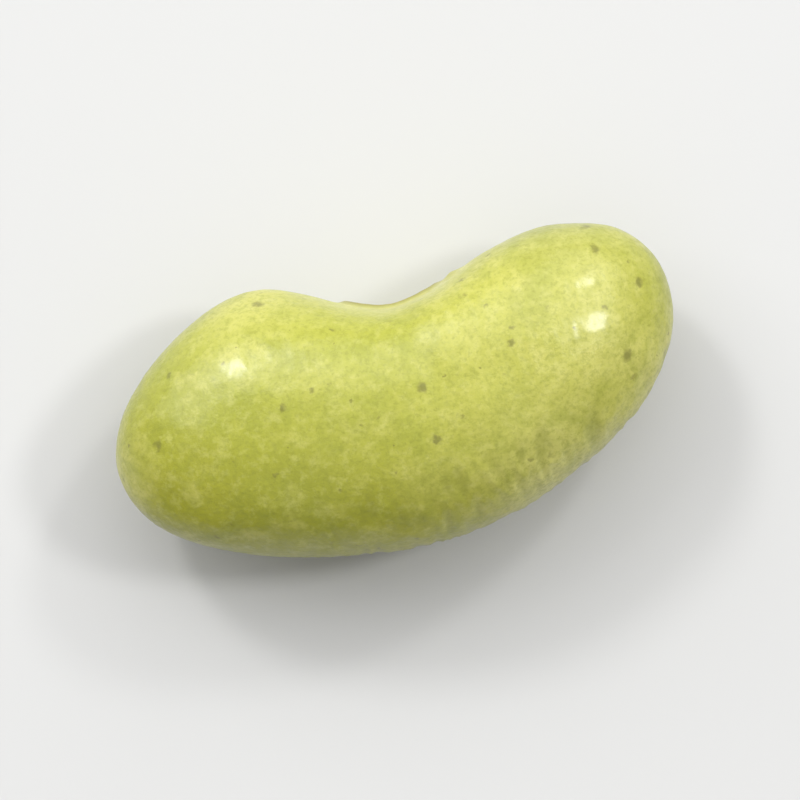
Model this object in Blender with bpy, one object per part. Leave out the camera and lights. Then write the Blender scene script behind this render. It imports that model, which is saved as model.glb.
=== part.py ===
"""One dry verdina bean, whole, lying on its flank. Blender 4.5, metres, +Z up.

X runs along the seed. +Y is its hollow side, which carries the hilum, the scar where it hung in
the pod. It rests on a small flat spot at Z = 0, under the middle of its length and width.
The seed grew as one piece, so it is one object.
"""

import math

import bmesh
import bpy
import numpy as np

MM = 0.001

# The body, before its bend, its lobe and its notch. A bluntness of 0 leaves an ellipse.
HALF_LENGTH = 6.5 * MM
HALF_WIDTH = 3.06 * MM
HALF_THICKNESS = 2.4 * MM
END_BLUNTNESS = 0.155
SECTION_BLUNTNESS = 0.10
WIDER_RIGHT = 0.04  # share of the half width
THINNER_RIGHT = 0.05  # share of the half thickness
THINNER_BACK = 0.05  # the convex back is a little keener than the hollow side

# The line through the middle of the body, seen from above. Stations run from -1 to 1 along X.
MIDLINE = -0.36 * MM
BEND = 0.825 * MM  # both ends turn towards the hilum
BEND_ROUND = 0.20  # stations over which the bend is rounded
RIGHT_UPTURN = 0.33 * MM  # the right end turns further than the left one

# The hollow on the hilum side, and the lobe to its left, over the young root
NOTCH_AT = 0.10
NOTCH_REACH = 0.375
NOTCH_DEPTH = 0.96 * MM
NOTCH_KEENNESS = 3  # the higher it is, the nearer the notch stays to the very side
LOBE_AT = -0.505
LOBE_REACH = 0.385
LOBE_HEIGHT = 0.59 * MM
LOBE_KEENNESS = 2

# The flanks dip a little between the two ends, most of all beside the notch
WAIST_REACH = 0.42
WAIST_THINNING = 0.13  # share of the half thickness

# Broad, faint unevenness of the whole skin, as a dried seed has
WAVE_SEED = 11
WAVE_COUNT = 7
WAVE_HEIGHT = 0.03 * MM
WAVE_TURNS = (1.4, 3.2)  # radians from the seed's middle to its side

# The hilum, an oval scar with a raised lip, in the middle of the notch
HILUM_AT = 0.50 * MM
HILUM_HALF_LENGTH = 0.98 * MM
HILUM_HALF_WIDTH = 0.44 * MM
HILUM_DEPTH = 0.13 * MM
LIP_HEIGHT = 0.07 * MM
LIP_SPREAD = 0.20  # share of the hilum's half axes
SWELL_HEIGHT = 0.12 * MM
SWELL_REACH = 1.9  # times the hilum's half axes

# In line with the hilum lie the pore and the root's ridge on its left, and the twin lens on its right
PORE_AT = HILUM_AT - HILUM_HALF_LENGTH - 0.28 * MM
PORE_REACH = 0.14 * MM
PORE_DEPTH = 0.06 * MM
LENS_AT = HILUM_AT + HILUM_HALF_LENGTH + 0.42 * MM
LENS_APART = 0.18 * MM
LENS_REACH = 0.20 * MM
LENS_HEIGHT = 0.07 * MM
ROOT_AT = HILUM_AT - HILUM_HALF_LENGTH - 1.55 * MM
ROOT_HALF_LENGTH = 1.25 * MM
ROOT_HALF_WIDTH = 0.62 * MM
ROOT_HEIGHT = 0.14 * MM

# The mesh: rings round the hilum, crossed by lines from there to the middle of the back
RINGS = 56
LINES = 76
GATHERING = 0.6  # how far the rings draw together at the hilum, from 0 to 1
BARE_RINGS = 2  # the innermost ones, which the hilum's plain floor does without

# The flat spot that the bean rests on
FLAT_DEPTH = 0.05 * MM
RIM_GAP = 0.09 * MM  # points closer than this to its rim are joined with it

# The skin's look
SKIN_COLOUR = (0.47, 0.50, 0.13, 1.0)
SKIN_ROUGHNESS = 0.38


def clear_scene():
    for obj in list(bpy.data.objects):
        bpy.data.objects.remove(obj)


def bump(distance, reach):
    """1 in the middle, falling smoothly to about 0 at twice the reach."""
    return np.exp(-((distance / reach) ** 2))


def smooth_step(value, low, high):
    share = np.clip((value - low) / (high - low), 0.0, 1.0)
    return share * share * (3.0 - 2.0 * share)


def ring_directions():
    """Unit vectors of every ring, from the hilum's middle at the first row to the back at the last."""
    even = np.delete(np.linspace(0.0, math.pi, RINGS + 1), range(1, BARE_RINGS + 1))
    tilt = even - GATHERING * np.sin(even) * (1 + np.cos(even)) / 2
    turn = np.linspace(0.0, 2 * math.pi, LINES, endpoint=False)
    tilt, turn = np.meshgrid(tilt, turn, indexing="ij")
    lean = math.atan2(HILUM_AT / HALF_LENGTH, 1.0)
    x = np.sin(tilt) * np.cos(turn)
    y = np.cos(tilt)
    return np.stack(
        [
            x * math.cos(lean) + y * math.sin(lean),
            y * math.cos(lean) - x * math.sin(lean),
            np.sin(tilt) * np.sin(turn),
        ],
        axis=-1,
    )


def blunt_length(first, second, bluntness):
    """The length of a vector, measured so that points of length 1 form a blunted circle."""
    square = (1 - bluntness) * (first**2 + second**2)
    return np.sqrt((square + np.sqrt(square**2 + 4 * bluntness * (first**4 + second**4))) / 2)


def blunt_ball(direction):
    """Where each direction leaves a unit ball with blunt ends and a slightly square section."""
    along, front, up = np.moveaxis(direction, -1, 0)
    across = blunt_length(front, up, SECTION_BLUNTNESS)
    return direction / blunt_length(along, across, END_BLUNTNESS)[..., None]


def unevenness(ball):
    """Seeded slow waves over the skin, as an outward distance."""
    draw = np.random.default_rng(WAVE_SEED)
    total = 0.0
    for _ in range(WAVE_COUNT):
        heading = draw.normal(size=3)
        heading *= draw.uniform(*WAVE_TURNS) / np.linalg.norm(heading)
        total = total + np.sin(ball @ heading + draw.uniform(0.0, 2 * math.pi))
    return WAVE_HEIGHT * total / math.sqrt(WAVE_COUNT)


def hilum_relief(x, z):
    """How far the hilum and what lies in line with it stand out of the hollow side."""
    ring = np.hypot((x - HILUM_AT) / HILUM_HALF_LENGTH, z / HILUM_HALF_WIDTH)
    height = SWELL_HEIGHT * bump(ring, SWELL_REACH)
    height += LIP_HEIGHT * bump(ring - 1, LIP_SPREAD)
    height -= HILUM_DEPTH * (1 - smooth_step(ring, 0.6, 1.0))
    height -= PORE_DEPTH * bump(np.hypot(x - PORE_AT, z), PORE_REACH)
    for side in (-1, 1):
        height += LENS_HEIGHT * bump(np.hypot(x - LENS_AT, z - side * LENS_APART), LENS_REACH)
    root = np.hypot((x - ROOT_AT) / ROOT_HALF_LENGTH, z / ROOT_HALF_WIDTH)
    return height + ROOT_HEIGHT * bump(root, 1.0)


def seed_surface(direction):
    """The point of the bean's skin in each direction from the middle of its body."""
    ball = blunt_ball(direction)
    station, front, up = np.moveaxis(ball, -1, 0)
    hollow_side = np.maximum(front, 0.0)
    notch = bump(station - NOTCH_AT, NOTCH_REACH) * hollow_side**NOTCH_KEENNESS
    lobe = bump(station - LOBE_AT, LOBE_REACH) * hollow_side**LOBE_KEENNESS

    x = station * HALF_LENGTH
    y = front * HALF_WIDTH * (1 + WIDER_RIGHT * station)
    y += MIDLINE + BEND * np.hypot(station, BEND_ROUND) + RIGHT_UPTURN * station**3
    y += LOBE_HEIGHT * lobe - NOTCH_DEPTH * notch

    waist = bump(station - NOTCH_AT, WAIST_REACH) * ((1 + front) / 2) ** 2
    thickness = HALF_THICKNESS * (1 - THINNER_RIGHT * station) * (1 + THINNER_BACK * front)
    z = up * thickness * (1 - WAIST_THINNING * waist)

    skin = np.stack([x, y, z], axis=-1) + direction * unevenness(ball)[..., None]
    skin[..., 1] += hilum_relief(skin[..., 0], skin[..., 2]) * smooth_step(front, 0.3, 0.8)
    return skin


def closed_mesh(skin):
    """A mesh through the rows of skin points, whose first and last rows are single points."""
    mesh = bmesh.new()
    start = mesh.verts.new(skin[0, 0])
    end = mesh.verts.new(skin[-1, 0])
    rows = [[mesh.verts.new(point) for point in row] for row in skin[1:-1]]
    for line in range(LINES):
        beside = (line + 1) % LINES
        mesh.faces.new((start, rows[0][beside], rows[0][line]))
        mesh.faces.new((end, rows[-1][line], rows[-1][beside]))
        for row, following in zip(rows, rows[1:]):
            mesh.faces.new((row[line], row[beside], following[beside], following[line]))
    return mesh


def rim_points(mesh):
    return {vert for vert in mesh.verts if vert.is_boundary}


def cut_flat_spot(mesh):
    """Cuts a thin slice off the underside and closes it with one flat face."""
    level = min(vert.co.z for vert in mesh.verts) + FLAT_DEPTH
    everything = mesh.verts[:] + mesh.edges[:] + mesh.faces[:]
    bmesh.ops.bisect_plane(
        mesh, geom=everything, plane_co=(0.0, 0.0, level), plane_no=(0.0, 0.0, -1.0), clear_outer=True
    )
    bmesh.ops.remove_doubles(mesh, verts=list(rim_points(mesh)), dist=RIM_GAP)

    # A point of the skin that lies very near the rim is joined with it, which leaves no slivers
    rim = rim_points(mesh)
    joins = {}
    for vert in rim:
        for edge in vert.link_edges:
            other = edge.other_vert(vert)
            if other not in rim and edge.calc_length() < RIM_GAP:
                joins[other] = vert
    bmesh.ops.weld_verts(mesh, targetmap=joins)
    bmesh.ops.edgeloop_fill(mesh, edges=[edge for edge in mesh.edges if edge.is_boundary])


def stand_on_origin(mesh):
    """Puts the origin on the ground below the middle of the bean's length and width."""
    points = np.array([vert.co for vert in mesh.verts])
    low, high = points.min(axis=0), points.max(axis=0)
    middle = (low + high) / 2
    bmesh.ops.translate(mesh, verts=mesh.verts[:], vec=(-middle[0], -middle[1], -low[2]))


def skin_material():
    material = bpy.data.materials.new("bean_skin")
    material.use_nodes = True
    shader = material.node_tree.nodes["Principled BSDF"]
    shader.inputs["Base Color"].default_value = SKIN_COLOUR
    shader.inputs["Roughness"].default_value = SKIN_ROUGHNESS
    return material


def make_bean():
    mesh = closed_mesh(seed_surface(ring_directions()))
    cut_flat_spot(mesh)
    stand_on_origin(mesh)
    bmesh.ops.triangulate(mesh, faces=mesh.faces[:])
    bmesh.ops.recalc_face_normals(mesh, faces=mesh.faces[:])

    data = bpy.data.meshes.new("bean")
    mesh.to_mesh(data)
    mesh.free()
    data.shade_smooth()
    data.materials.append(skin_material())
    bean = bpy.data.objects.new("bean", data)
    bpy.context.scene.collection.objects.link(bean)


def main():
    clear_scene()
    make_bean()


if __name__ == "__main__":
    main()
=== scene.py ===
"""The looks of one dry verdina bean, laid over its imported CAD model. Blender 4.5, metres, +Z up.

The bean's skin is built from the same form as the CAD solid, on a finer mesh that also carries the
low relief of a dried seed coat. Its colours come from shader nodes. X runs along the bean, +Y is
its hollow side, and it lies on the floor at Z = 0, seen from straight above.
"""

import math
from typing import NamedTuple

import bmesh
import bpy
import numpy as np
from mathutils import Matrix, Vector, noise

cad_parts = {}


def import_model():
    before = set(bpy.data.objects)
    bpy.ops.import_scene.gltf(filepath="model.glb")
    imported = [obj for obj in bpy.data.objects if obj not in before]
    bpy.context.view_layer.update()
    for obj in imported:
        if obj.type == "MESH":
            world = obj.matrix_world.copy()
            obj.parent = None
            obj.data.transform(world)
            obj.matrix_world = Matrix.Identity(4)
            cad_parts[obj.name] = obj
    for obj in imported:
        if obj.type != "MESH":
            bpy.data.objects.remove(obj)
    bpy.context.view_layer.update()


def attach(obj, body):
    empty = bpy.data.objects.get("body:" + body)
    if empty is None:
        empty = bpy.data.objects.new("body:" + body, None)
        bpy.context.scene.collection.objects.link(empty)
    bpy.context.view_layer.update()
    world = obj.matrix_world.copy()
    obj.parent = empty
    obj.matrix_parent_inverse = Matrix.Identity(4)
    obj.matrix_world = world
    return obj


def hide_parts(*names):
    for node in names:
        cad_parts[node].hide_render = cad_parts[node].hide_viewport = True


MM = 0.001


class Relief(NamedTuple):
    """A layer of low relief. Its noise has so many waves per mm along, across and up."""

    waves: tuple
    shift: float
    height: float


class Waves(NamedTuple):
    """A noise of the skin's colour or gloss."""

    per_mm: float
    detail: float
    roughness: float = 0.5
    distortion: float = 0.0


class Tint(NamedTuple):
    """A colour whose share goes from start to end, while some value goes from low to high."""

    low: float
    high: float
    start: float
    end: float
    colour: tuple


class Patch(NamedTuple):
    """A broad patch of another colour. The X and Y of its middle and its reach are in mm."""

    middle: tuple
    reach: float
    share: float
    colour: tuple


class SpeckSize(NamedTuple):
    """Specks of one size. Some of the cells of a random pattern have one."""

    spacing: float  # mm between the cells
    largest: float  # mm from a speck's middle to its edge
    chance: float
    strength: float


class Lamp(NamedTuple):
    """A softbox aimed at the bean."""

    name: str
    azimuth: float  # degrees from the picture's right, anticlockwise
    zenith: float  # degrees from straight above
    size: float
    power: float
    shape: str


# The form of the body, as in the CAD source. A bluntness of 0 leaves an ellipse.
HALF_LENGTH = 6.5 * MM
HALF_WIDTH = 3.06 * MM
HALF_THICKNESS = 2.4 * MM
END_BLUNTNESS = 0.155
SECTION_BLUNTNESS = 0.10
WIDER_RIGHT = 0.04
THINNER_RIGHT = 0.05
THINNER_BACK = 0.05
MIDLINE = -0.36 * MM
BEND = 0.825 * MM
BEND_ROUND = 0.20
RIGHT_UPTURN = 0.33 * MM
NOTCH_AT = 0.10
NOTCH_REACH = 0.375
NOTCH_DEPTH = 0.96 * MM
NOTCH_KEENNESS = 3
LOBE_AT = -0.505
LOBE_REACH = 0.385
LOBE_HEIGHT = 0.59 * MM
LOBE_KEENNESS = 2
WAIST_REACH = 0.42
WAIST_THINNING = 0.13
WAVE_SEED = 11
WAVE_COUNT = 7
WAVE_HEIGHT = 0.03 * MM
WAVE_TURNS = (1.4, 3.2)
FLAT_DEPTH = 0.05 * MM
FLAT_ROUND = 0.004 * MM

# The hilum and what lies in line with it, as in the CAD source, with a slit along the scar
HOLLOW_SIDE = (0.3, 0.8)  # where the hilum's relief and colours fade in, across the body
HILUM_AT = 0.50 * MM
HILUM_HALF_LENGTH = 0.98 * MM
HILUM_HALF_WIDTH = 0.44 * MM
HILUM_DEPTH = 0.13 * MM
HILUM_WALL = (0.6, 1.0)  # shares of the hilum's half axes, as the slit's ends are
LIP_HEIGHT = 0.07 * MM
LIP_SPREAD = 0.20
SWELL_HEIGHT = 0.12 * MM
SWELL_REACH = 1.9
PORE_AT = HILUM_AT - HILUM_HALF_LENGTH - 0.28 * MM
PORE_REACH = 0.14 * MM
PORE_DEPTH = 0.06 * MM
LENS_AT = HILUM_AT + HILUM_HALF_LENGTH + 0.42 * MM
LENS_APART = 0.18 * MM
LENS_REACH = 0.20 * MM
LENS_HEIGHT = 0.07 * MM
ROOT_AT = HILUM_AT - HILUM_HALF_LENGTH - 1.55 * MM
ROOT_HALF_LENGTH = 1.25 * MM
ROOT_HALF_WIDTH = 0.62 * MM
ROOT_HEIGHT = 0.14 * MM
SLIT_DEPTH = 0.045 * MM
SLIT_REACH = 0.045 * MM
SLIT_ENDS = (0.55, 0.9)

# The mesh: a box of ten squares, each cut into cells, drawn together round the hilum
CELLS = 96
GATHERING = 0.5

# The low relief of the skin. The creases cross the back, and are faint elsewhere.
DENTS = Relief((0.30, 0.42, 0.42), 3.7, 0.042 * MM)
PUCKERS = Relief((0.85, 1.05, 1.05), 5.9, 0.027 * MM)
PEBBLES = Relief((3.4, 3.9, 3.9), 31.1, 0.005 * MM)
CREASES = Relief((3.3, 0.8, 0.8), 23.9, 0.021 * MM)
CREASE_FAINTEST = 0.14
CREASED_BACK = (0.3, 0.85)  # where they grow, from the middle of the body to its back
CREASED_RIGHT = (-0.7, 0.0)  # and along it

# A shallow fold that runs from the notch over both flanks, and fades out towards the back
FOLD_AT = 0.95 * MM
FOLD_LEAN = -0.25
FOLD_REACH = 0.34 * MM
FOLD_DEPTH = 0.030 * MM
FOLD_FADES = (-0.35, 0.35)

# The skin's main colours: a green left lobe and a paler right half, and painted shade: the back
# darker olive, most on the left
ZONE_WEIGHTS = (0.42, 0.10, 0.9)  # of the station, the front and the clouds
LEFT_GREEN = (0.35, 0.365, 0.038, 1)
RIGHT_PALE = Tint(0.05, 0.95, 0.0, 1.0, (0.50, 0.49, 0.100, 1))
# painted shade on the back, which faces away from the lamps, darkest towards the left end
BACK_PAINTED_SHADE = Tint(-1.1, 0.1, 0.66, 0.0, (0.335, 0.325, 0.016, 1))

# Broad patches over both flanks, some of them painted light and shade. Height counts less than
# length and width.
GREEN = (0.29, 0.31, 0.030, 1)
SAGE_PAINTED_SHADE = (0.25, 0.27, 0.080, 1)
PALE = (0.56, 0.54, 0.150, 1)
PATCHES = (
    # painted light on the back of the right half
    Patch((2.9, -2.5), 2.5, 0.85, PALE),
    Patch((0.2, -2.0), 1.4, 0.40, PALE),
    # painted light on the left tip
    Patch((-6.4, 0.3), 1.4, 0.60, PALE),
    # painted light along the top of the left lobe, on its hollow side
    Patch((-2.6, 3.2), 2.0, 0.62, PALE),
    Patch((6.7, 0.9), 2.3, 0.65, GREEN),
    # painted shade along the right lobe's rim on its hollow side
    Patch((4.6, 3.5), 2.8, 0.60, SAGE_PAINTED_SHADE),
    # painted highlight: a pale glow beside the lower highlight on the right lobe
    Patch((5.0, -0.5), 1.4, 0.75, PALE),
    Patch((-2.7, -1.1), 2.4, 0.60, GREEN),
    # painted shade over the middle of the left lobe
    Patch((-4.4, 0.9), 1.9, 0.45, GREEN),
)
PATCH_CORE = 0.5  # mm from a patch's middle to where it begins to fade
PATCH_AXES = (1.0, 1.0, 0.3)
MID_HEIGHT = 2.3  # mm above the floor

# Mottling, from clouds down to grain, and the colours that follow it
CLOUDS = Waves(0.35, detail=2.0)
MARBLE = Waves(0.97, detail=6.0, roughness=0.65, distortion=0.8)
BLUSH = Waves(1.3, detail=5.0, roughness=0.65, distortion=0.5)
FLECKS = Waves(3.6, detail=4.0, roughness=0.65)
GRAIN = Waves(10.0, detail=3.0, roughness=0.7)
MARBLE_GREEN = Tint(0.46, 0.68, 0.0, 0.36, (0.25, 0.28, 0.030, 1))
BLUSH_PALE = Tint(0.50, 0.74, 0.0, 0.38, (0.56, 0.53, 0.155, 1))
FLECK_PALE = Tint(0.48, 0.70, 0.0, 0.31, (0.58, 0.56, 0.175, 1))
FLECK_GREEN = Tint(0.32, 0.50, 0.34, 0.0, (0.27, 0.29, 0.030, 1))
GRAIN_GREEN = Tint(0.45, 0.68, 0.0, 0.38, (0.23, 0.25, 0.030, 1))
# painted shade in the creases' furrows
FURROW_PAINTED_SHADE = Tint(-0.9, 0.1, 0.26, 0.0, (0.22, 0.23, 0.030, 1))

# Specks of two sizes, with ragged edges
SPECK_SIZES = (SpeckSize(0.75, 0.17, 0.60, 0.75), SpeckSize(0.42, 0.08, 0.45, 0.60))
SPECK_COLOUR = (0.16, 0.155, 0.028, 1)
SPECK_EDGE = (0.35, 1.1)  # shares of a speck's size
SPECK_LEAST = 0.001  # keeps the size above 0 in a cell without one
SPECK_BENDS = Waves(7.0, detail=3.0)
SPECK_BENDING = 0.20  # mm

# The hilum's colours. The tints and fades follow the ring distance: low, high, start and end.
HALO = Tint(1.2, 3.2, 0.45, 0.0, (0.60, 0.59, 0.22, 1))
LIP = Tint(1.05, 1.40, 0.80, 0.0, (0.23, 0.205, 0.045, 1))
SCAR_RIM = Tint(0.55, 0.96, 0.0, 0.80, (0.34, 0.29, 0.12, 1))
SCAR_SHARE = (0.90, 1.02, 1.0, 0.0)
SCAR_DARK = (0.55, 0.52, 0.34, 1)
SCAR_LIGHT = (0.71, 0.69, 0.51, 1)
MARK_COLOUR = (0.20, 0.165, 0.05, 1)
MARK_SHARE = 0.75
LENS_MARK = 0.5  # how strongly the twin lens is marked, next to the slit and the pore
FAR_RING = 4  # added to the ring distance on the back, which keeps the hilum's colours off it
FIBRE_WAVES = (21.0, 9.0, 7.0)  # per mm along, across and up
FIBRES = Waves(1.0, detail=3.0, roughness=0.6)

# What is too fine for the mesh: orange-peel texture, and the scar's fibres
PEEL = Waves(9.0, detail=3.0, roughness=0.6)
PEEL_HEIGHT = 0.013 * MM
FIBRE_HEIGHT = (0.85, 1.0, 0.4, 0.0)  # share of the peel's height, by the ring distance

# The skin's gloss, and how much duller the scar is, by the ring distance
SHEEN = Waves(2.5, detail=4.0, roughness=0.6)
ROUGHNESS = (0.34, 0.46)
SCAR_DULLNESS = (0.85, 1.1, 0.35, 0.0)
NOISE_RANGE = (0.30, 0.70)  # where nearly all of a noise lies

# The camera looks straight down, turned so that the bean lies as in the photograph
VIEW_TURN = math.radians(-17.0)
VIEW_WIDTH = 18.2 * MM
VIEW_DISTANCE = 0.14
SENSOR_WIDTH = 36.0
CLIP_START = 10 * MM

# Two broad lamps shade the bean, and three small round ones give it its highlights
LAMPS = (
    Lamp("key_right", 66, 44, 0.44, 0.93, "SQUARE"),
    Lamp("key_left", 138, 57, 0.36, 0.90, "SQUARE"),
    Lamp("spark_right", 54, 50, 0.056, 0.26, "DISK"),
    Lamp("spark_low", 17, 39, 0.068, 0.40, "DISK"),
    Lamp("spark_left", 127, 49, 0.070, 0.42, "DISK"),
)
LAMP_DISTANCE = 0.40

# The room is brightest overhead, and dims towards the horizon
GLOW_RISES = (0.0, 0.9)  # the sine of the height above the horizon
GLOW = (0.10, 0.56)

FLOOR_COLOUR = (0.58, 0.58, 0.575, 1)
FLOOR_REACH = 0.6
FLOOR_DROP = 0.01 * MM  # keeps it clear of the bean's flat spot


def bump(distance, reach):
    """1 in the middle, falling smoothly to about 0 at twice the reach."""
    return np.exp(-((distance / reach) ** 2))


def smooth_step(value, low, high):
    share = np.clip((value - low) / (high - low), 0.0, 1.0)
    return share * share * (3.0 - 2.0 * share)


def box_mesh(cells):
    """A box of side 2, two squares long and one wide and high, each cut into cells x cells."""
    mesh = bmesh.new()
    bmesh.ops.create_cube(mesh, size=2.0)
    long_edges = [e for e in mesh.edges if abs(e.verts[0].co.x - e.verts[1].co.x) > 1.0]
    bmesh.ops.subdivide_edges(mesh, edges=long_edges, cuts=1)
    bmesh.ops.subdivide_edges(mesh, edges=mesh.edges[:], cuts=cells - 1, use_grid_fill=True)
    return mesh


def gathered_directions(box_points):
    """Unit vectors through even cells of the box, drawn together round the hilum."""
    even = np.tan(box_points * math.pi / 4)
    even /= np.linalg.norm(even, axis=1, keepdims=True)
    toward = np.clip(even[:, 1], -1.0, 1.0)
    angle = np.arccos(toward)
    drawn = angle - GATHERING * np.sin(angle) * (1 + toward) / 2
    sideways = even[:, (0, 2)] * (np.sin(drawn) / np.maximum(np.sin(angle), 1e-9))[:, None]
    return np.stack([sideways[:, 0], np.cos(drawn), sideways[:, 1]], axis=1)


def blunt_length(first, second, bluntness):
    """The length of a vector, measured so that points of length 1 form a blunted circle."""
    square = (1 - bluntness) * (first**2 + second**2)
    return np.sqrt((square + np.sqrt(square**2 + 4 * bluntness * (first**4 + second**4))) / 2)


def blunt_ball(direction):
    """Where each direction leaves a unit ball with blunt ends and a slightly square section."""
    along, front, up = direction.T
    across = blunt_length(front, up, SECTION_BLUNTNESS)
    return direction / blunt_length(along, across, END_BLUNTNESS)[:, None]


def unevenness(ball):
    """Seeded slow waves over the skin, as an outward distance."""
    draw = np.random.default_rng(WAVE_SEED)
    total = 0.0
    for _ in range(WAVE_COUNT):
        heading = draw.normal(size=3)
        heading *= draw.uniform(*WAVE_TURNS) / np.linalg.norm(heading)
        total = total + np.sin(ball @ heading + draw.uniform(0.0, 2 * math.pi))
    return WAVE_HEIGHT * total / math.sqrt(WAVE_COUNT)


def hilum_features(x, z):
    """Ring distance, 0 in the scar's middle and 1 on its lip, then slit, pore and twin lens."""
    ring = np.hypot((x - HILUM_AT) / HILUM_HALF_LENGTH, z / HILUM_HALF_WIDTH)
    slit = bump(z, SLIT_REACH) * (1 - smooth_step(ring, *SLIT_ENDS))
    pore = bump(np.hypot(x - PORE_AT, z), PORE_REACH)
    lens = sum(bump(np.hypot(x - LENS_AT, z - side * LENS_APART), LENS_REACH) for side in (-1, 1))
    return ring, slit, pore, lens


def hilum_relief(x, z):
    """How far the hilum and what lies in line with it stand out of the hollow side."""
    ring, slit, pore, lens = hilum_features(x, z)
    height = SWELL_HEIGHT * bump(ring, SWELL_REACH) + LIP_HEIGHT * bump(ring - 1, LIP_SPREAD)
    height += LENS_HEIGHT * lens - SLIT_DEPTH * slit - PORE_DEPTH * pore
    height -= HILUM_DEPTH * (1 - smooth_step(ring, *HILUM_WALL))
    root = np.hypot((x - ROOT_AT) / ROOT_HALF_LENGTH, z / ROOT_HALF_WIDTH)
    return height + ROOT_HEIGHT * bump(root, 1.0)


def seed_surface(direction, ball):
    """The point of the bean's skin in each direction from the middle of its body."""
    station, front, up = ball.T
    hollow_side = np.maximum(front, 0.0)
    notch = bump(station - NOTCH_AT, NOTCH_REACH) * hollow_side**NOTCH_KEENNESS
    lobe = bump(station - LOBE_AT, LOBE_REACH) * hollow_side**LOBE_KEENNESS

    x = station * HALF_LENGTH
    y = front * HALF_WIDTH * (1 + WIDER_RIGHT * station)
    y += MIDLINE + BEND * np.hypot(station, BEND_ROUND) + RIGHT_UPTURN * station**3
    y += LOBE_HEIGHT * lobe - NOTCH_DEPTH * notch

    waist = bump(station - NOTCH_AT, WAIST_REACH) * ((1 + front) / 2) ** 2
    thickness = HALF_THICKNESS * (1 - THINNER_RIGHT * station) * (1 + THINNER_BACK * front)
    z = up * thickness * (1 - WAIST_THINNING * waist)

    skin = np.stack([x, y, z], axis=1) + direction * unevenness(ball)[:, None]
    skin[:, 1] += hilum_relief(skin[:, 0], skin[:, 2]) * smooth_step(front, *HOLLOW_SIDE)
    return skin


def noise_over(points, layer):
    """The smooth noise of a layer of relief at each point, from about -1 to 1."""
    places = points / MM * np.array(layer.waves) + layer.shift
    return np.array([noise.noise(place) for place in places.tolist()])


def creases(skin, ball):
    """Fine wrinkles across the back, strongest at the right end. Furrows are below 0."""
    station, front, _ = ball.T
    creased = smooth_step(-front, *CREASED_BACK) * smooth_step(station, *CREASED_RIGHT)
    creased = CREASE_FAINTEST + (1 - CREASE_FAINTEST) * creased
    return creased * (1 - 4 * np.abs(noise_over(skin, CREASES)))


def low_relief(skin, ball, crease):
    """How far the fold, the dents, puckers and pebbles, and the creases stand out of the skin."""
    fold = bump(skin[:, 0] - FOLD_AT - FOLD_LEAN * skin[:, 1], FOLD_REACH)
    height = -FOLD_DEPTH * fold * smooth_step(ball[:, 1], *FOLD_FADES)
    for layer in (DENTS, PUCKERS, PEBBLES):
        height += layer.height * noise_over(skin, layer)
    return height + CREASES.height * crease


def vertex_normals(mesh):
    normals = np.empty(len(mesh.vertices) * 3)
    mesh.vertex_normals.foreach_get("vector", normals)
    return normals.reshape(-1, 3)


def rest_on_floor(points):
    """Rounds the underside off to the flat spot, and puts the bean's middle over the origin."""
    low, high = points.min(axis=0), points.max(axis=0)
    level = low[2] + FLAT_DEPTH
    above = points[:, 2] - level
    points[:, 2] = (above + np.sqrt(above**2 + FLAT_ROUND**2)) / 2
    points[:, :2] -= (low[:2] + high[:2]) / 2
    points[:, 2] -= points[:, 2].min()
    return points


def make_bean():
    """The bean as one closed mesh. Its attributes tell the material what lies where."""
    grid = box_mesh(CELLS)
    direction = gathered_directions(np.array([vert.co for vert in grid.verts]))
    ball = blunt_ball(direction)
    skin = seed_surface(direction, ball)
    ring, slit, pore, lens = hilum_features(skin[:, 0], skin[:, 2])
    hollow_side = smooth_step(ball[:, 1], *HOLLOW_SIDE)
    crease = creases(skin, ball)

    mesh = bpy.data.meshes.new("verdina_bean")
    grid.to_mesh(mesh)
    grid.free()
    mesh.vertices.foreach_set("co", skin.ravel())
    mesh.update()
    skin += vertex_normals(mesh) * low_relief(skin, ball, crease)[:, None]
    mesh.vertices.foreach_set("co", rest_on_floor(skin).ravel())
    mesh.shade_smooth()

    attributes = {
        "station": ball[:, 0],
        "front": ball[:, 1],
        "crease": crease,
        "ring": ring + FAR_RING * (1 - hollow_side),
        "marks": (slit + pore + LENS_MARK * lens) * hollow_side,
    }
    for name, values in attributes.items():
        mesh.attributes.new(name, "FLOAT", "POINT").data.foreach_set("value", values)

    bean = bpy.data.objects.new("verdina_bean", mesh)
    bpy.context.scene.collection.objects.link(bean)
    return bean


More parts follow.
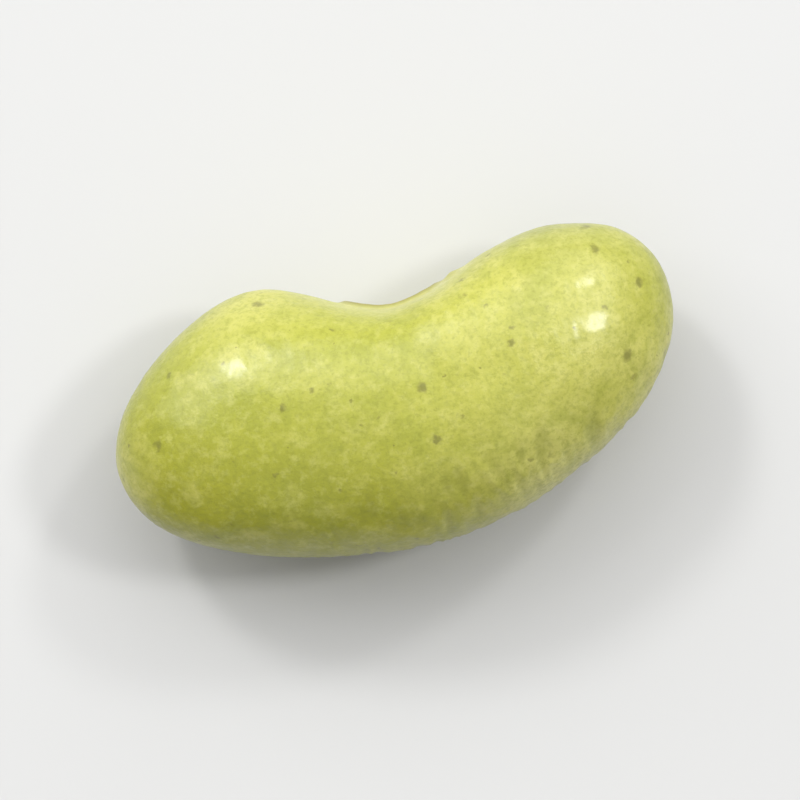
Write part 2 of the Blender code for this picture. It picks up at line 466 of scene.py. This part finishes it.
class Nodes:
    """Adds nodes to a material or world. Each input is a plain value or another node's socket."""

    def __init__(self, owner):
        owner.use_nodes = True
        self.tree = owner.node_tree

    def set(self, name, settings):
        for key, value in settings.items():
            self.feed(self.tree.nodes[name].inputs[key], value)

    def feed(self, socket, value):
        if isinstance(value, bpy.types.NodeSocket):
            self.tree.links.new(value, socket)
        else:
            socket.default_value = value

    def add(self, kind, inputs, output=0, **settings):
        node = self.tree.nodes.new("ShaderNode" + kind)
        for name, value in settings.items():
            setattr(node, name, value)
        for key, value in inputs.items():
            self.feed(node.inputs[key], value)
        return node.outputs[output]

    def attribute(self, name):
        return self.add("Attribute", {}, output="Fac", attribute_name=name)

    def math(self, operation, first, second):
        return self.add("Math", {0: first, 1: second}, operation=operation)

    def vector(self, operation, first, second):
        return self.add("VectorMath", {0: first, 1: second}, operation=operation)

    def scale(self, vector, factor):
        return self.add("VectorMath", {0: vector, "Scale": factor}, operation="SCALE")

    def length(self, vector):
        return self.add("VectorMath", {0: vector}, output="Value", operation="LENGTH")

    def fade(self, value, low, high, start, end):
        """start below low and end above high, with a smooth step between them."""
        inputs = {"Value": value, "From Min": low, "From Max": high, "To Min": start, "To Max": end}
        return self.add("MapRange", inputs, interpolation_type="SMOOTHSTEP")

    def noise(self, place, waves, output=0):
        inputs = {
            "Vector": place,
            "Scale": waves.per_mm,
            "Detail": waves.detail,
            "Roughness": waves.roughness,
            "Distortion": waves.distortion,
        }
        return self.add("TexNoise", inputs, output=output)

    def mix(self, share, first, second):
        return self.add("Mix", {0: share, 6: first, 7: second}, output=2, data_type="RGBA")

    def tint(self, value, colour, tint):
        """Mixes a tint into a colour, where the value that it follows says so."""
        share = self.fade(value, tint.low, tint.high, tint.start, tint.end)
        return self.mix(share, colour, tint.colour)


def main_colour(nodes, place, station, front):
    """Greener on the left lobe and paler on the right half, with painted shade on the back: darker
    olive, most on the left.
    """
    zone = 0.0
    for value, weight in zip((station, front, nodes.noise(place, CLOUDS)), ZONE_WEIGHTS):
        zone = nodes.math("ADD", zone, nodes.math("MULTIPLY", value, weight))
    colour = nodes.tint(zone, LEFT_GREEN, RIGHT_PALE)
    return nodes.tint(nodes.math("ADD", front, station), colour, BACK_PAINTED_SHADE)


def add_patch(nodes, colour, place, waves, patch):
    """A patch round one place of the outline, over both flanks, with wavy edges."""
    outward = nodes.vector("SUBTRACT", place, (*patch.middle, MID_HEIGHT))
    distance = nodes.length(nodes.vector("MULTIPLY", outward, PATCH_AXES))
    distance = nodes.math("ADD", distance, waves)
    share = nodes.fade(distance, PATCH_CORE, PATCH_CORE + patch.reach, patch.share, 0.0)
    return nodes.mix(share, colour, patch.colour)


def add_mottling(nodes, colour, place, crease):
    """Patches with wavy edges, some of them painted light and shade, mottling down to grain, and
    painted shade in the furrows.
    """
    marble = nodes.noise(place, MARBLE)
    for patch in PATCHES:
        colour = add_patch(nodes, colour, place, marble, patch)
    colour = nodes.tint(marble, colour, MARBLE_GREEN)
    colour = nodes.tint(nodes.noise(place, BLUSH), colour, BLUSH_PALE)
    flecks = nodes.noise(place, FLECKS)
    colour = nodes.tint(flecks, colour, FLECK_PALE)
    colour = nodes.tint(flecks, colour, FLECK_GREEN)
    colour = nodes.tint(nodes.noise(place, GRAIN), colour, GRAIN_GREEN)
    # painted shade: darker where the creases' furrows lie
    return nodes.tint(crease, colour, FURROW_PAINTED_SHADE)


def add_specks(nodes, colour, place):
    """Small dark green specks. Their places are bent a little, so that their edges are ragged."""
    bends = nodes.noise(place, SPECK_BENDS, output="Color")
    place = nodes.vector("ADD", place, nodes.scale(bends, SPECK_BENDING))
    for specks in SPECK_SIZES:
        cells = {"Vector": place, "Scale": 1.0 / specks.spacing, "Randomness": 1.0}
        distance = nodes.add("TexVoronoi", cells, output="Distance")
        draw = nodes.add("SeparateColor", {0: nodes.add("TexVoronoi", cells, output="Color")})
        size = nodes.fade(draw, 1.0 - specks.chance, 1.0, 0.0, specks.largest / specks.spacing)
        inside = nodes.math("DIVIDE", distance, nodes.math("ADD", size, SPECK_LEAST))
        share = nodes.fade(inside, *SPECK_EDGE, specks.strength, 0.0)
        colour = nodes.mix(share, colour, SPECK_COLOUR)
    return colour


def add_hilum(nodes, colour, fibres, ring, marks):
    """A pale halo, a darker lip, a fibrous whitish scar, and its slit, pore and lens."""
    colour = nodes.tint(ring, colour, HALO)
    colour = nodes.tint(ring, colour, LIP)
    scar = nodes.mix(nodes.fade(fibres, *NOISE_RANGE, 0.0, 1.0), SCAR_DARK, SCAR_LIGHT)
    scar = nodes.tint(ring, scar, SCAR_RIM)
    colour = nodes.mix(nodes.fade(ring, *SCAR_SHARE), colour, scar)
    return nodes.mix(nodes.math("MULTIPLY", marks, MARK_SHARE), colour, MARK_COLOUR)


def fine_relief(nodes, place, fibres, ring):
    """Orange-peel texture all over, and fibres on the scar, as a bent normal."""
    fibres = nodes.math("MULTIPLY", fibres, nodes.fade(ring, *FIBRE_HEIGHT))
    height = nodes.math("ADD", nodes.noise(place, PEEL), fibres)
    return nodes.add("Bump", {"Height": height, "Strength": 1.0, "Distance": PEEL_HEIGHT})


def skin_material():
    """The seed coat: mottled, specked, satin, a little translucent, and dull on the scar."""
    material = bpy.data.materials.new("verdina_skin")
    nodes = Nodes(material)
    place = nodes.scale(nodes.add("TexCoord", {}, output="Object"), 1 / MM)
    station = nodes.attribute("station")
    front = nodes.attribute("front")
    ring = nodes.attribute("ring")
    fibres = nodes.noise(nodes.vector("MULTIPLY", place, FIBRE_WAVES), FIBRES)

    colour = main_colour(nodes, place, station, front)
    colour = add_mottling(nodes, colour, place, nodes.attribute("crease"))
    colour = add_specks(nodes, colour, place)
    colour = add_hilum(nodes, colour, fibres, ring, nodes.attribute("marks"))

    rough = nodes.fade(nodes.noise(place, SHEEN), *NOISE_RANGE, *ROUGHNESS)
    rough = nodes.math("ADD", rough, nodes.fade(ring, *SCAR_DULLNESS))
    settings = {
        "Base Color": colour,
        "Roughness": rough,
        "Normal": fine_relief(nodes, place, fibres, ring),
        "IOR": 1.40,
        "Subsurface Weight": 0.10,
        "Subsurface Radius": (1.0, 0.95, 0.30),
        "Subsurface Scale": 0.35 * MM,
        "Coat Weight": 0.42,
        "Coat Roughness": 0.19,
    }
    nodes.set("Principled BSDF", settings)
    return material


def make_floor():
    mesh = bpy.data.meshes.new("floor")
    sides = ((-1, -1), (1, -1), (1, 1), (-1, 1))
    corners = [(x * FLOOR_REACH, y * FLOOR_REACH, 0.0) for x, y in sides]
    mesh.from_pydata(corners, [], [(0, 1, 2, 3)])
    floor = bpy.data.objects.new("floor", mesh)
    floor.location.z = -FLOOR_DROP
    bpy.context.scene.collection.objects.link(floor)
    material = bpy.data.materials.new("floor_white")
    nodes = Nodes(material)
    nodes.set("Principled BSDF", {"Base Color": FLOOR_COLOUR, "Roughness": 0.8})
    mesh.materials.append(material)


def add_light(lamp):
    turn = math.radians(lamp.azimuth) + VIEW_TURN
    tilt = math.radians(lamp.zenith)
    toward = Vector(
        (math.sin(tilt) * math.cos(turn), math.sin(tilt) * math.sin(turn), math.cos(tilt))
    )
    data = bpy.data.lights.new(lamp.name, "AREA")
    data.shape = lamp.shape
    data.size = lamp.size
    data.energy = lamp.power
    light = bpy.data.objects.new(lamp.name, data)
    light.location = toward * LAMP_DISTANCE
    light.rotation_euler = toward.to_track_quat("Z", "Y").to_euler()
    bpy.context.scene.collection.objects.link(light)


def light_room():
    world = bpy.data.worlds.new("soft_white")
    nodes = Nodes(world)
    sky = nodes.add("SeparateXYZ", {0: nodes.add("TexCoord", {}, output="Generated")}, output="Z")
    glow = nodes.fade(sky, *GLOW_RISES, *GLOW)
    nodes.set("Background", {"Color": (1.0, 1.0, 1.0, 1.0), "Strength": glow})
    bpy.context.scene.world = world


def add_camera():
    data = bpy.data.cameras.new("camera")
    data.sensor_width = SENSOR_WIDTH
    data.lens = SENSOR_WIDTH * VIEW_DISTANCE / VIEW_WIDTH
    data.clip_start = CLIP_START
    camera = bpy.data.objects.new("camera", data)
    camera.location = (0.0, 0.0, VIEW_DISTANCE)
    camera.rotation_euler = (0.0, 0.0, VIEW_TURN)
    bpy.context.scene.collection.objects.link(camera)
    bpy.context.scene.camera = camera


def main():
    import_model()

    bean = make_bean()
    bean.data.materials.append(skin_material())
    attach(bean, "root")
    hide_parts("bean")

    make_floor()
    for lamp in LAMPS:
        add_light(lamp)
    light_room()
    add_camera()
    bpy.context.scene.view_settings.view_transform = "Standard"


main()
